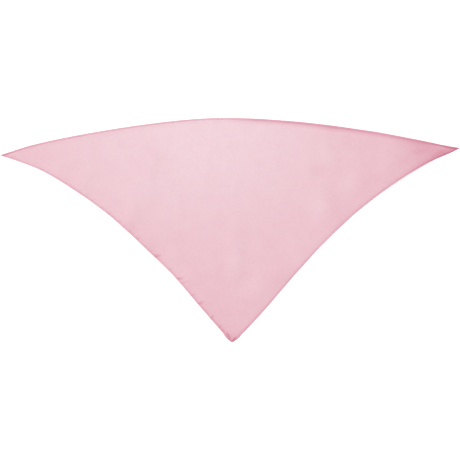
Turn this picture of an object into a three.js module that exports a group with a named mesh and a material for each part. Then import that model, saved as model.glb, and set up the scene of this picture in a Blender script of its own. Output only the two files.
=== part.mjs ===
// A triangular neckerchief of thin cloth, spread out on a flat surface.
//
// Millimetres, +Z up. X runs along the neck edge from the left tip to the right tip, and +Y points from
// the bottom point to the neck edge. The origin is at the middle of the outline, on the surface.
//
// The pieces are the cloth panel and the three hems that are rolled round its raw edges.

import * as THREE from "three";

// The outline as the cloth lies.
const TIP_SPAN = 984; // from the left tip to the right tip, across X
const RIGHT_TIP_RISE = 15.8; // how much further up Y the right tip lies than the left tip
const POINT_ACROSS = 496; // from the left tip to the bottom point, across X
const POINT_DROP = 401; // from the left tip to the bottom point, down Y
const NECK_BOW = 72.6; // how far the neck edge bows out
const RIGHT_BOW = 39.4; // how far the right edge bows in
const LEFT_BOW = 47.5; // how far the left edge bows in

// The cloth and its hems.
const CLOTH_WALL = 1; // thickness of the panel
const HEM_WALL = 1; // thickness of the strip that is rolled round the panel's edge
const HEM_WIDTH = 6.5; // from the outline to the hem's inner edge
const GAP = 0.3; // clearance between a hem and the panel, and between two hems at a corner

// How the cloth lies.
const FOLD_HEIGHT = 11; // how far the tallest swell lifts the cloth off the surface
const RIPPLE_HEIGHT = 3; // how far the left hem lifts between the places where its stitching pulls it down
const RIPPLE_LENGTH = 61; // from one of those places to the next
const RIPPLE_REACH = 70; // how far the ripples run into the cloth
const SETTLE = 30; // how far inside a hem the panel comes down to the surface

// How fine the model is.
const STEPS = 52; // stations along each edge
const LINE_STEPS = 240; // points along each edge before it is moved inwards
const ROLL_STEPS = 4; // flats round the outside of a hem

// The shape of each edge. share is how far along the straight line between the edge's ends, and bow is
// how far off that line the edge runs, as a share of the edge's named bow.
const NECK_ROWS = [
  { share: 0.02, bow: 0.084 },
  { share: 0.06, bow: 0.254 },
  { share: 0.14, bow: 0.479 },
  { share: 0.3, bow: 0.819 },
  { share: 0.47, bow: 1 },
  { share: 0.64, bow: 0.863 },
  { share: 0.8, bow: 0.551 },
  { share: 0.93, bow: 0.197 },
  { share: 0.97, bow: 0.072 },
];
const RIGHT_ROWS = [
  { share: 0.03, bow: 0.113 },
  { share: 0.09, bow: 0.42 },
  { share: 0.17, bow: 0.69 },
  { share: 0.28, bow: 0.909 },
  { share: 0.41, bow: 0.988 },
  { share: 0.55, bow: 0.873 },
  { share: 0.7, bow: 0.572 },
  { share: 0.85, bow: 0.196 },
  { share: 0.95, bow: 0.01 },
];
const LEFT_ROWS = [
  { share: 0.05, bow: 0.103 },
  { share: 0.15, bow: 0.343 },
  { share: 0.3, bow: 0.706 },
  { share: 0.4, bow: 0.83 },
  { share: 0.59, bow: 0.99 },
  { share: 0.75, bow: 0.867 },
  { share: 0.86, bow: 0.64 },
  { share: 0.95, bow: 0.261 },
];

// The swells of the cloth, each a soft ridge. across and down say where its middle is, as shares of the
// outline's width from the left and of its depth from the top. heading is the way the ridge runs, in
// degrees from +X towards +Y. long and wide are half its length and half its width, as shares of
// TIP_SPAN, and high is a share of FOLD_HEIGHT.
const FOLDS = [
  { name: "right_wing", across: 0.865, down: 0.16, heading: 82, long: 0.16, wide: 0.115, high: 1 },
  { name: "right_neck", across: 0.745, down: 0.085, heading: -7, long: 0.15, wide: 0.04, high: 0.4 },
  { name: "left_wing", across: 0.17, down: 0.19, heading: 104, long: 0.14, wide: 0.1, high: 0.5 },
  { name: "left_tip", across: 0, down: 0.17, heading: 0, long: 0.06, wide: 0.06, high: 0.25 },
  { name: "left_body", across: 0.31, down: 0.3, heading: 58, long: 0.16, wide: 0.06, high: 0.38 },
  { name: "right_body", across: 0.7, down: 0.36, heading: 118, long: 0.14, wide: 0.05, high: 0.42 },
  { name: "middle_crease", across: 0.51, down: 0.62, heading: 88, long: 0.12, wide: 0.035, high: 0.3 },
  { name: "lower_right", across: 0.58, down: 0.74, heading: 47, long: 0.11, wide: 0.045, high: 0.32 },
  { name: "lower_left", across: 0.44, down: 0.8, heading: 126, long: 0.09, wide: 0.04, high: 0.3 },
];

// The ripples along each edge, with their height as a share of RIPPLE_HEIGHT.
const RIPPLES = [
  { edge: "right", high: 0.6 },
  { edge: "left", high: 1 },
];

const SEAT = HEM_WALL + GAP; // the panel lies this far above the underside of a hem
const HEM_THICKNESS = 2 * SEAT + CLOTH_WALL;
const ROLL_RADIUS = HEM_THICKNESS / 2; // outside of the rolled edge
const PANEL_INSET = ROLL_RADIUS + GAP; // from the outline to the panel's raw edge

const COLOURS = { panel: 0xf0ccd6, hem: 0xe3adbd };

// A smooth bump: 1 in the middle, 0 from r = 1 outwards, level at both.
const bell = (r) => (Math.abs(r) < 1 ? (1 + Math.cos(Math.PI * r)) / 2 : 0);

const leftTip = new THREE.Vector2(0, 0);
const rightTip = new THREE.Vector2(TIP_SPAN, RIGHT_TIP_RISE);
const point = new THREE.Vector2(POINT_ACROSS, -POINT_DROP);

// The curve of one edge between two corners. A positive bow is outwards, and the corners go clockwise.
function edgeCurve(from, to, bow, rows) {
  const chord = to.clone().sub(from);
  const out = new THREE.Vector2(-chord.y, chord.x).normalize();
  const ends = [
    { share: 0, bow: 0 },
    { share: 1, bow: 0 },
  ];
  const points = [ends[0], ...rows, ends[1]].map((row) => {
    const at = from.clone().addScaledVector(chord, row.share).addScaledVector(out, row.bow * bow);
    return new THREE.Vector3(at.x, at.y, 0);
  });
  return new THREE.CatmullRomCurve3(points, false, "centripetal");
}

const EDGES = [
  { name: "neck", curve: edgeCurve(leftTip, rightTip, NECK_BOW, NECK_ROWS) },
  { name: "right", curve: edgeCurve(rightTip, point, -RIGHT_BOW, RIGHT_ROWS) },
  { name: "left", curve: edgeCurve(point, leftTip, -LEFT_BOW, LEFT_ROWS) },
];

// An edge's curve moved inwards, as a line of points that still runs past its neighbours.
function movedLine(curve, inset) {
  return Array.from({ length: LINE_STEPS + 1 }, (_, i) => {
    const at = curve.getPointAt(i / LINE_STEPS);
    const along = curve.getTangentAt(i / LINE_STEPS);
    return new THREE.Vector2(at.x + along.y * inset, at.y - along.x * inset);
  });
}

// Where two segments cross, or null.
function crossing(a, b, c, d) {
  const ab = b.clone().sub(a);
  const cd = d.clone().sub(c);
  const ac = c.clone().sub(a);
  const area = ab.cross(cd);
  const s = ac.cross(cd) / area;
  const t = ac.cross(ab) / area;
  const slack = 1e-6;
  const inside = s > -slack && s < 1 + slack && t > -slack && t < 1 + slack;
  return inside ? a.clone().addScaledVector(ab, s) : null;
}

// Where the end of one line meets the start of the next.
function corner(before, after) {
  for (let i = before.length - 2; i >= 0; i--) {
    for (let j = 0; j < after.length - 1; j++) {
      const at = crossing(before[i], before[i + 1], after[j], after[j + 1]);
      if (at) return { at, last: i, first: j + 1 };
    }
  }
  throw new Error("two edges do not meet");
}

// The outline moved inwards: for each edge, its stations from corner to corner, evenly apart.
function ring(inset) {
  const lines = EDGES.map((edge) => movedLine(edge.curve, inset));
  const corners = lines.map((line, e) => corner(lines.at(e - 1), line));
  return lines.map((line, e) => {
    const start = corners[e];
    const end = corners[(e + 1) % corners.length];
    const path = new THREE.Path([start.at, ...line.slice(start.first, end.last + 1), end.at]);
    return path.getSpacedPoints(STEPS);
  });
}

const outline = ring(0);
const innerRing = ring(HEM_WIDTH);
const box = new THREE.Box2().setFromPoints(outline.flat());
const size = box.getSize(new THREE.Vector2());

// How far the swells lift the cloth at a place.
function swell(at) {
  return FOLDS.reduce((lift, fold) => {
    const turn = THREE.MathUtils.degToRad(fold.heading);
    const dx = at.x - (box.min.x + fold.across * size.x);
    const dy = at.y - (box.max.y - fold.down * size.y);
    const u = (dx * Math.cos(turn) + dy * Math.sin(turn)) / (fold.long * TIP_SPAN);
    const v = (dy * Math.cos(turn) - dx * Math.sin(turn)) / (fold.wide * TIP_SPAN);
    return lift + fold.high * FOLD_HEIGHT * bell(u) * bell(v);
  }, 0);
}

// The nearest place on a line of stations: how far off it is, and how far along the line it lies.
function nearest(at, stations) {
  let best = { off: Infinity, along: 0 };
  let run = 0;
  for (let i = 0; i < stations.length - 1; i++) {
    const step = stations[i + 1].clone().sub(stations[i]);
    const share = THREE.MathUtils.clamp(at.clone().sub(stations[i]).dot(step) / step.lengthSq(), 0, 1);
    const off = at.distanceTo(stations[i].clone().addScaledVector(step, share));
    if (off < best.off) best = { off, along: run + share * step.length() };
    run += step.length();
  }
  return { ...best, length: run };
}

// How far the ripples of the side edges lift the cloth at a place. They die away towards the corners.
function ripple(at) {
  return RIPPLES.reduce((lift, { edge, high }) => {
    const stations = innerRing[EDGES.findIndex(({ name }) => name === edge)];
    const { off, along, length } = nearest(at, stations);
    const wave = (1 - Math.cos((2 * Math.PI * along) / RIPPLE_LENGTH)) / 2;
    const fade = bell(off / RIPPLE_REACH) * bell((2 * along) / length - 1);
    return lift + high * RIPPLE_HEIGHT * wave * fade;
  }, 0);
}

const lift = (at) => swell(at) + ripple(at);

// How far each station of each edge is lifted. The hems and the edge of the panel share these heights.
const edgeLifts = innerRing.map((stations) => stations.map(lift));

// The height of the panel's underside inside the hems.
function underside(at) {
  const off = Math.min(...innerRing.map((stations) => nearest(at, stations).off));
  return lift(at) + SEAT * (off < SETTLE ? (1 + Math.cos((Math.PI * off) / SETTLE)) / 2 : 0);
}

function meshOf(name, vertices, triangles, material) {
  const geometry = new THREE.BufferGeometry();
  geometry.setAttribute("position", new THREE.Float32BufferAttribute(vertices.flat(), 3));
  geometry.setIndex(triangles.flat());
  geometry.computeVertexNormals();
  const mesh = new THREE.Mesh(geometry, material);
  mesh.name = name;
  return mesh;
}

// A place in the panel by its three shares of the corners. The three edges bend the flat triangle.
function panelPlace(shareLeft, shareRight, sharePoint) {
  const [neck, right, left] = innerRing;
  const at = new THREE.Vector2()
    .addScaledVector(neck[0], shareLeft)
    .addScaledVector(right[0], shareRight)
    .addScaledVector(left[0], sharePoint);
  const bends = [
    { stations: neck, start: shareLeft, end: shareRight },
    { stations: right, start: shareRight, end: sharePoint },
    { stations: left, start: sharePoint, end: shareLeft },
  ];
  for (const { stations, start, end } of bends) {
    const sum = start + end;
    if (sum === 0) continue;
    const along = (end / sum) * STEPS;
    const i = Math.min(Math.floor(along), STEPS - 1);
    const onEdge = stations[i].clone().lerp(stations[i + 1], along - i);
    const onChord = stations[0].clone().lerp(stations[STEPS], end / sum);
    at.addScaledVector(onEdge.sub(onChord), sum);
  }
  return at;
}

// The cloth: a curved triangle in small triangles, with a flat border that the hems hold.
function makePanel(material) {
  const rows = [];
  const places = [];
  const heights = [];
  const add = (at, height) => {
    places.push(at);
    heights.push(height);
    return places.length - 1;
  };
  for (let r = 0; r <= STEPS; r++) {
    rows.push([]);
    for (let c = 0; c <= STEPS - r; c++) {
      const at = panelPlace((STEPS - r - c) / STEPS, c / STEPS, r / STEPS);
      rows[r].push(add(at, underside(at)));
    }
  }
  const faces = [];
  for (let r = 0; r < STEPS; r++) {
    for (let c = 0; c < STEPS - r; c++) {
      faces.push([rows[r][c], rows[r + 1][c], rows[r][c + 1]]);
      if (c < STEPS - r - 1) faces.push([rows[r][c + 1], rows[r + 1][c], rows[r + 1][c + 1]]);
    }
  }
  const rim = [
    ...rows[0].slice(0, STEPS),
    ...rows.slice(0, STEPS).map((row) => row.at(-1)),
    ...rows.slice(1).reverse().map((row) => row[0]),
  ];
  const lifts = edgeLifts.flatMap((edge) => edge.slice(0, STEPS));
  const rawEdge = ring(PANEL_INSET)
    .flatMap((stations) => stations.slice(0, STEPS))
    .map((at, i) => add(at, lifts[i] + SEAT));
  rim.forEach((inner, i) => {
    const next = (i + 1) % rim.length;
    faces.push([inner, rim[next], rawEdge[next]], [inner, rawEdge[next], rawEdge[i]]);
  });
  const count = places.length;
  const vertices = [CLOTH_WALL, 0].flatMap((up) => places.map((at, i) => [at.x, at.y, heights[i] + up]));
  const under = faces.map(([a, b, c]) => [a + count, c + count, b + count]);
  const side = rawEdge.flatMap((a, i) => {
    const b = rawEdge[(i + 1) % rawEdge.length];
    return [
      [a, b, b + count],
      [a, b + count, a + count],
    ];
  });
  return meshOf("panel", vertices, [...faces, ...under, ...side], material);
}

// The hem's section: inset from the outline and height above the hem's underside, round the roll on the
// outside, then round the groove that holds the panel's edge.
function hemSection() {
  const roll = Array.from({ length: ROLL_STEPS + 1 }, (_, i) => {
    const turn = -Math.PI / 2 + (Math.PI * i) / ROLL_STEPS;
    return { inset: ROLL_RADIUS * (1 - Math.cos(turn)), height: ROLL_RADIUS * (1 + Math.sin(turn)) };
  });
  return [
    { inset: HEM_WIDTH, height: 0 },
    ...roll,
    { inset: HEM_WIDTH, height: HEM_THICKNESS },
    { inset: HEM_WIDTH, height: HEM_THICKNESS - HEM_WALL },
    { inset: ROLL_RADIUS, height: HEM_THICKNESS - HEM_WALL },
    { inset: ROLL_RADIUS, height: HEM_WALL },
    { inset: HEM_WIDTH, height: HEM_WALL },
  ];
}

// How far the hems stop short of each corner along their edges, so that their mitred ends are a gap apart.
const cornerShifts = outline.map((stations, edge) => {
  const before = outline.at(edge - 1)[STEPS - 1].clone().sub(stations[0]);
  const after = stations[1].clone().sub(stations[0]);
  return GAP / 2 / Math.sin(before.angleTo(after) / 2);
});

// One hem, swept along its edge and mitred at both corners.
function makeHem(edge, material) {
  const section = hemSection();
  const rings = section.map(({ inset }) => ring(inset)[edge]);
  const lifts = edgeLifts[edge];
  const ends = [
    { station: 0, next: 1, shift: cornerShifts[edge] },
    { station: STEPS, next: STEPS - 1, shift: cornerShifts[(edge + 1) % EDGES.length] },
  ];
  const vertices = [];
  for (let i = 0; i <= STEPS; i++) {
    const end = ends.find(({ station }) => station === i);
    section.forEach(({ height }, k) => {
      const at = rings[k][i].clone();
      const share = end ? end.shift / at.distanceTo(rings[k][end.next]) : 0;
      if (end) at.lerp(rings[k][end.next], share);
      const up = end ? THREE.MathUtils.lerp(lifts[i], lifts[end.next], share) : lifts[i];
      vertices.push([at.x, at.y, up + height]);
    });
  }
  const n = section.length;
  const triangles = [];
  for (let i = 0; i < STEPS; i++) {
    for (let k = 0; k < n; k++) {
      const a = i * n + k;
      const b = i * n + ((k + 1) % n);
      triangles.push([a, b, b + n], [a, b + n, a + n]);
    }
  }
  const flat = section.map(({ inset, height }) => new THREE.Vector2(inset, height));
  for (const [a, b, c] of THREE.ShapeUtils.triangulateShape(flat, [])) {
    triangles.push([a, b, c], [a + STEPS * n, c + STEPS * n, b + STEPS * n]);
  }
  return meshOf(EDGES[edge].name + "_hem", vertices, triangles, material);
}

const panelCloth = new THREE.MeshStandardMaterial({ color: COLOURS.panel, roughness: 0.85, metalness: 0 });
const hemCloth = new THREE.MeshStandardMaterial({ color: COLOURS.hem, roughness: 0.85, metalness: 0 });

const neckerchief = new THREE.Group();
neckerchief.name = "neckerchief";
neckerchief.add(makePanel(panelCloth), ...EDGES.map((_, edge) => makeHem(edge, hemCloth)));
const middle = box.getCenter(new THREE.Vector2());
neckerchief.position.set(-middle.x, -middle.y, 0);

export default neckerchief;
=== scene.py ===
"""A pale pink triangular neckerchief of thin plain weave, spread out on a white floor.

Metres, +Z up. +X runs along the neck edge to the right tip, and +Y from the bottom point to that edge.
"""

import math

import bmesh
import bpy
import numpy as np
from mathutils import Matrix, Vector, noise
from mathutils.kdtree import KDTree


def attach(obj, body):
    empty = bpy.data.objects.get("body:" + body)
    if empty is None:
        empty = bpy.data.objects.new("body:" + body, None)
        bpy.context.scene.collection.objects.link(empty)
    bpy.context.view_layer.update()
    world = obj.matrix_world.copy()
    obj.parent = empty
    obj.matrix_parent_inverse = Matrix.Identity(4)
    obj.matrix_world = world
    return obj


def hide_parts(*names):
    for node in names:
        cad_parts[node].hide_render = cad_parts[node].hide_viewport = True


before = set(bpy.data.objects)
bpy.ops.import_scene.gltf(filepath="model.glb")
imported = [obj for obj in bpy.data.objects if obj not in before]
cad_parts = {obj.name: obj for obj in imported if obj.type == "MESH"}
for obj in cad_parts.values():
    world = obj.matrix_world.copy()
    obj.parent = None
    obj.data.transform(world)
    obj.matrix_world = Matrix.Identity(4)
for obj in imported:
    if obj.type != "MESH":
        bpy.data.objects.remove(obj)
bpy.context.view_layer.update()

MM = 0.001

# The outline as the cloth lies.
TIP_SPAN = 984 * MM  # from the left tip to the right tip, across X
RIGHT_TIP_RISE = 15.8 * MM  # how much further up Y the right tip lies than the left tip
POINT_ACROSS = 496 * MM  # from the left tip to the bottom point, across X
POINT_DROP = 401 * MM  # from the left tip to the bottom point, down Y
NECK_BOW = 72.6 * MM  # how far the neck edge bows out
RIGHT_BOW = 39.4 * MM  # how far the right edge bows in
LEFT_BOW = 47.5 * MM  # how far the left edge bows in

# The shape of each edge, as (share along the straight line between its ends, share of the edge's bow).
NECK_ROWS = [
    (0.02, 0.084), (0.06, 0.254), (0.14, 0.479), (0.3, 0.819), (0.47, 1),
    (0.64, 0.863), (0.8, 0.549), (0.87, 0.356), (0.93, 0.19), (0.97, 0.074),
]
RIGHT_ROWS = [
    (0.03, 0.113), (0.09, 0.42), (0.17, 0.69), (0.28, 0.909), (0.41, 0.988),
    (0.55, 0.873), (0.7, 0.572), (0.85, 0.196), (0.95, 0.01),
]
LEFT_ROWS = [
    (0.05, 0.103), (0.15, 0.343), (0.3, 0.706), (0.4, 0.83), (0.59, 0.99),
    (0.75, 0.867), (0.86, 0.64), (0.95, 0.261),
]

# The swells of the cloth: middle across and down the outline's box as shares, the way the ridge runs in
# degrees from +X, half its length and half its width as shares of TIP_SPAN, and its height as a share of
# FOLD_HEIGHT.
FOLD_HEIGHT = 11 * MM
FOLDS = [
    # across, down, heading, long, wide, high
    (0.865, 0.16, 82, 0.16, 0.115, 1),
    (0.745, 0.085, -7, 0.15, 0.04, 0.4),
    (0.17, 0.19, 104, 0.14, 0.1, 0.5),
    (0, 0.17, 0, 0.06, 0.06, 0.25),
    (0.31, 0.3, 58, 0.16, 0.06, 0.38),
    (0.7, 0.36, 118, 0.14, 0.05, 0.42),
    (0.51, 0.62, 88, 0.12, 0.035, 0.3),
    (0.58, 0.74, 47, 0.11, 0.045, 0.32),
    (0.44, 0.8, 126, 0.09, 0.04, 0.3),
]

# The ripples along the side hems.
RIPPLE_HEIGHT = 3 * MM
RIPPLE_LENGTH = 61 * MM
RIPPLE_REACH = 70 * MM
RIPPLE_RING = 6.5 * MM  # the ripples are measured from a line this far inside the outline

LINE_STEP = 0.5 * MM  # between the points of an edge's dense line


def bell(r):
    """A smooth bump: 1 in the middle, 0 from 1 outwards, level at both."""
    return np.where(np.abs(r) < 1, (1 + np.cos(np.pi * np.clip(r, -1, 1))) / 2, 0)


def smooth_curve(points, per_span=40):
    """A centripetal curve through the points, as a dense line."""
    p = np.vstack([2 * points[0] - points[1], points, 2 * points[-1] - points[-2]])
    t = np.linspace(0, 1, per_span, endpoint=False)[:, None]
    line = []
    for a, b, c, d in zip(p, p[1:], p[2:], p[3:]):
        ab, bc, cd = (math.sqrt(np.linalg.norm(v)) for v in (b - a, c - b, d - c))
        m1 = bc * ((b - a) / ab - (c - a) / (ab + bc) + (c - b) / bc)
        m2 = bc * ((c - b) / bc - (d - b) / (bc + cd) + (d - c) / cd)
        line.append(b + m1 * t + (3 * (c - b) - 2 * m1 - m2) * t**2 + (2 * (b - c) + m1 + m2) * t**3)
    return np.vstack([*line, points[-1:]])


def lengths_along(line):
    return np.concatenate([[0], np.cumsum(np.linalg.norm(np.diff(line, axis=0), axis=1))])


def evenly(line, count):
    """The same line with count + 1 points, evenly apart."""
    along = lengths_along(line)
    at = np.linspace(0, along[-1], count + 1)
    return np.stack([np.interp(at, along, line[:, k]) for k in (0, 1)], axis=1)


def edge_line(start, end, bow, rows):
    """The dense line of one edge, bowed out to the left of the straight line between its ends."""
    chord = end - start
    out = np.array([-chord[1], chord[0]]) / np.linalg.norm(chord)
    rows = [(0, 0), *rows, (1, 0)]
    line = smooth_curve(np.array([start + share * chord + high * bow * out for share, high in rows]))
    return evenly(line, round(lengths_along(line)[-1] / LINE_STEP))


left_tip = np.array([0.0, 0.0])
right_tip = np.array([TIP_SPAN, RIGHT_TIP_RISE])
point = np.array([POINT_ACROSS, -POINT_DROP])
lines = {
    "neck": edge_line(left_tip, right_tip, NECK_BOW, NECK_ROWS),
    "right": edge_line(right_tip, point, -RIGHT_BOW, RIGHT_ROWS),
    "left": edge_line(point, left_tip, -LEFT_BOW, LEFT_ROWS),
}
outline = np.vstack(list(lines.values()))
box_low, box_high = outline.min(axis=0), outline.max(axis=0)
centre = (box_low + box_high) / 2
lines = {name: line - centre for name, line in lines.items()}
box_low, box_high = box_low - centre, box_high - centre
EDGE_NAMES = list(lines)


def edge_length(edge):
    return (len(lines[edge]) - 1) * LINE_STEP


def inward(line):
    """The unit normals of a dense line, pointing into the cloth."""
    along = np.gradient(line, axis=0)
    along /= np.linalg.norm(along, axis=1)[:, None]
    return np.stack([along[:, 1], -along[:, 0]], axis=1)


MEET_SLACK = 1e-6  # segments still count as crossing this far past their ends, as a share of their length
MEET_REACH = 8  # how far from a corner the crossing of two moved lines is looked for, in insets
MEET_LEAST = 4  # and at the least, in segments


def crossing(before, after, reach):
    """Where the end of one line meets the start of the next: the place, and the segment on each."""
    first = max(0, len(before) - 1 - reach)
    a, b = before[first:-1, None], before[first + 1:, None]
    c, d = after[None, :reach], after[None, 1:reach + 1]
    ab, cd, ac = b - a, d - c, c - a
    area = ab[..., 0] * cd[..., 1] - ab[..., 1] * cd[..., 0]
    s = (ac[..., 0] * cd[..., 1] - ac[..., 1] * cd[..., 0]) / area
    t = (ac[..., 0] * ab[..., 1] - ac[..., 1] * ab[..., 0]) / area
    met = (np.minimum(s, t) >= -MEET_SLACK) & (np.maximum(s, t) <= 1 + MEET_SLACK)
    i, j = np.argwhere(met)[0]
    return before[first + i] + s[i, j] * (before[first + i + 1] - before[first + i]), first + i, j


def moved_inwards(inset):
    """Each edge's line moved inwards, and where its start meets the end of the line before it."""
    moved = [line + inset * inward(line) for line in lines.values()]
    reach = max(MEET_LEAST, int(MEET_REACH * inset / LINE_STEP))
    return moved, [crossing(moved[e - 1], moved[e], reach) for e in range(3)]


def ring(inset):
    """The outline moved inwards: each edge's line from corner to corner."""
    moved, meets = moved_inwards(inset)
    whole = []
    for e in range(3):
        (start, _, first), (end, last, _) = meets[e], meets[(e + 1) % 3]
        whole.append(np.vstack([start, moved[e][first + 1:last + 1], end]))
    return whole


def tree_of(line):
    tree = KDTree(len(line))
    for i, (x, y) in enumerate(line):
        tree.insert((x, y, 0), i)
    tree.balance()
    return tree


def nearest(tree, step, xy):
    """How far each place lies from a line, and how far along the line its nearest point is."""
    found = [tree.find((x, y, 0)) for x, y in xy]
    return np.array([f[2] for f in found]), np.array([f[1] for f in found]) * step


ripple_lines = [evenly(line, round(lengths_along(line)[-1] / MM)) for line in ring(RIPPLE_RING)]
ripple_trees = [tree_of(line) for line in ripple_lines]
RIPPLE_SHARES = {"right": 0.6, "left": 1}  # how high each edge's ripples are, as a share of RIPPLE_HEIGHT


def from_row(xy, across, down, heading):
    """How far places are from a table row's middle: along its heading, and square to it."""
    turn = math.radians(heading)
    dx = xy[:, 0] - (box_low[0] + across * (box_high[0] - box_low[0]))
    dy = xy[:, 1] - (box_high[1] - down * (box_high[1] - box_low[1]))
    return dx * math.cos(turn) + dy * math.sin(turn), dy * math.cos(turn) - dx * math.sin(turn)


def swell(xy):
    lift = np.zeros(len(xy))
    for across, down, heading, long, wide, high in FOLDS:
        u, v = from_row(xy, across, down, heading)
        lift += high * FOLD_HEIGHT * bell(u / (long * TIP_SPAN)) * bell(v / (wide * TIP_SPAN))
    return lift


def ripple(xy):
    lift = np.zeros(len(xy))
    for edge, share in RIPPLE_SHARES.items():
        e = EDGE_NAMES.index(edge)
        length = lengths_along(ripple_lines[e])[-1]
        step = length / (len(ripple_lines[e]) - 1)
        off, along = nearest(ripple_trees[e], step, xy)
        wave = (1 - np.cos(2 * np.pi * along / RIPPLE_LENGTH)) / 2
        lift += share * RIPPLE_HEIGHT * wave * bell(off / RIPPLE_REACH) * bell(2 * along / length - 1)
    return lift


# The cloth's fine shape.
PANEL_STEPS = 200  # stations along each edge of the panel's grid, before it is refined
FINE_REACH = 17 * MM  # the grid is twice as fine this far from every edge
FINEST_REACH = 15 * MM  # and four times as fine this far from the edge with the puckers
PANEL_INSET = 2.2 * MM  # from the outline to the panel's raw edge, inside the hem
PANEL_WALL = 0.24 * MM
PANEL_SEAT = 0.45 * MM  # the panel lies this far above the underside of a hem
PANEL_CLEAR = 0.3 * MM  # and this far off the floor elsewhere
SEAT_REACH = 16 * MM

# Where the cloth is creased before it settles: middle across and down, heading, and in metres half the
# length, half the width and the height.
CREASES = [
    # across, down, heading, long, wide, high
    (0.503, 0.58, 92, 0.06, 0.009, 0.0007),
    (0.472, 0.69, 99, 0.07, 0.014, -0.0005),
    (0.555, 0.72, 60, 0.05, 0.012, 0.0006),
    (0.6, 0.66, 20, 0.045, 0.012, -0.0005),
    (0.3, 0.4, 140, 0.06, 0.016, 0.0006),
    (0.34, 0.52, 60, 0.05, 0.012, -0.0005),
    (0.22, 0.3, 30, 0.06, 0.014, 0.0005),
    (0.71, 0.14, 96, 0.05, 0.012, 0.0007),
    (0.69, 0.4, 84, 0.06, 0.016, 0.0006),
    (0.75, 0.36, 112, 0.06, 0.012, -0.0005),
    (0.85, 0.28, 70, 0.06, 0.012, 0.0006),
    (0.1, 0.2, 12, 0.06, 0.01, 0.0005),
    (0.44, 0.3, 70, 0.07, 0.016, 0.0005),
    (0.57, 0.24, 118, 0.07, 0.016, 0.0005),
]

# The short deep puckers that the left hem's stitching pulls in: how far from the bottom point along the
# edge, heading in degrees, length, half width and depth, all but the heading in metres.
PUCKERS = [
    # along, heading, long, wide, deep
    (0.033, 32, 0.0095, 0.0018, 0.0006),
    (0.043, 42, 0.0105, 0.0018, 0.0007),
    (0.068, 50, 0.0135, 0.0021, 0.0011),
    (0.11, 22, 0.016, 0.0024, 0.0014),
    (0.133, 30, 0.0115, 0.0018, 0.0007),
    (0.168, 14, 0.023, 0.002, 0.0006),
    (0.18, 10, 0.0175, 0.0026, 0.0014),
    (0.205, 25, 0.012, 0.0018, 0.0005),
    (0.249, 6, 0.0165, 0.0029, 0.0018),
    (0.302, 20, 0.0115, 0.0022, 0.0009),
    (0.325, 32, 0.009, 0.0017, 0.0004),
    (0.341, 28, 0.0105, 0.0018, 0.0005),
    (0.356, 30, 0.0105, 0.0019, 0.0006),
    (0.383, 24, 0.009, 0.0018, 0.0005),
    (0.404, 28, 0.009, 0.0018, 0.0004),
]
PUCKER_EDGE = "left"
PUCKER_DEPTH = 1.8 * MM  # the depth of a pucker whose valley gets the full painted shade
# how much painted shade a pucker's valley gets, as tint
PUCKER_PAINTED_SHADE = 0.42
PUCKER_ENDS = 3  # the power with which a pucker dies out along its length
PUCKER_RIDGE = (1.9, 1.1)  # how far the ridge lies from the valley, and how wide it is, in half widths
PUCKER_VALLEY = 0.5  # the valley's depth as a share of the ridge's height

# Where the cloth is bunched or folded over itself, at the corners and under the neck hem: middle across and
# down, heading, half length and half width in metres, how much deeper the pink is, and the height in metres.
# The deeper pink is partly doubled cloth and partly painted shade, as in the streak under the neck hem; the
# negative one at the right tip is a painted lighter patch.
BUNCHES = [
    # across, down, heading, long, wide, much, high
    (0.4966, 0.968, 112, 0.013, 0.0035, 0.5, 0.0008),
    (0.5088, 0.984, 50, 0.0085, 0.0024, 0.92, 0.0008),
    (0.504, 0.972, 90, 0.018, 0.016, 0.14, 0),
    (0.958, 0.155, 22, 0.03, 0.007, 0.16, 0.0009),
    (0.955, 0.13, -13, 0.04, 0.0075, -0.18, 0),
    (0.911, 0.152, 5, 0.028, 0.0095, 0.11, 0.0006),
    (0.88, 0.19, 35, 0.03, 0.012, 0.05, 0.0006),
    (0.008, 0.163, 0, 0.014, 0.008, 0.3, 0),
    (0.019, 0.155, 24, 0.014, 0.0045, 0.3, 0.0007),
    (0.029, 0.172, -10, 0.014, 0.0035, 0.16, 0.0005),
    (0.72, 0.05, -7, 0.045, 0.008, 0.12, 0.0005),
]
BUNCH_FOLD = (1.3, 1.2)  # how far the fold lies from the dip, and how wide it is, in half widths
BUNCH_DIP = 0.4  # the dip's depth as a share of the fold's height

GATHER_REACH = 13 * MM  # how far the fine gathers run in from a hem
GATHER_HEIGHT = {"neck": 0.1 * MM, "right": 0.16 * MM, "left": 0.22 * MM}
GATHER_LENGTHS = (7 * MM, 17 * MM)  # the shortest and longest of the waves that make up the gathers
GATHER_WAVES = 7
GATHER_SEED = 5
GATHER_SWING = 0.4  # how much the gathers come and go along an edge, as a share
GATHER_SWING_LENGTH = 110 * MM
GATHER_SLANT = 0.4  # how far they lean along the edge for each step away from it

edge_trees = {name: tree_of(line) for name, line in lines.items()}


def gather_wave(edge, along):
    """An uneven wave along an edge, from -1 to 1 or a little more."""
    draw = np.random.default_rng(EDGE_NAMES.index(edge) + GATHER_SEED)
    lengths = draw.uniform(*GATHER_LENGTHS, GATHER_WAVES)
    phases = draw.uniform(0, 2 * np.pi, GATHER_WAVES)
    waves = np.cos(2 * np.pi * along[:, None] / lengths + phases)
    swing = np.cos(2 * np.pi * along / GATHER_SWING_LENGTH + phases[0])
    return waves.sum(axis=1) / math.sqrt(GATHER_WAVES) * (1 - GATHER_SWING + GATHER_SWING * swing)


def pucker_frames():
    """The start of each pucker at the outline, with its direction and sizes."""
    line = lines[PUCKER_EDGE]
    for along, heading, long, wide, deep in PUCKERS:
        start = line[round(along / LINE_STEP)]
        turn = math.radians(heading)
        yield start, np.array([math.cos(turn), math.sin(turn)]), long, wide, deep


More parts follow.
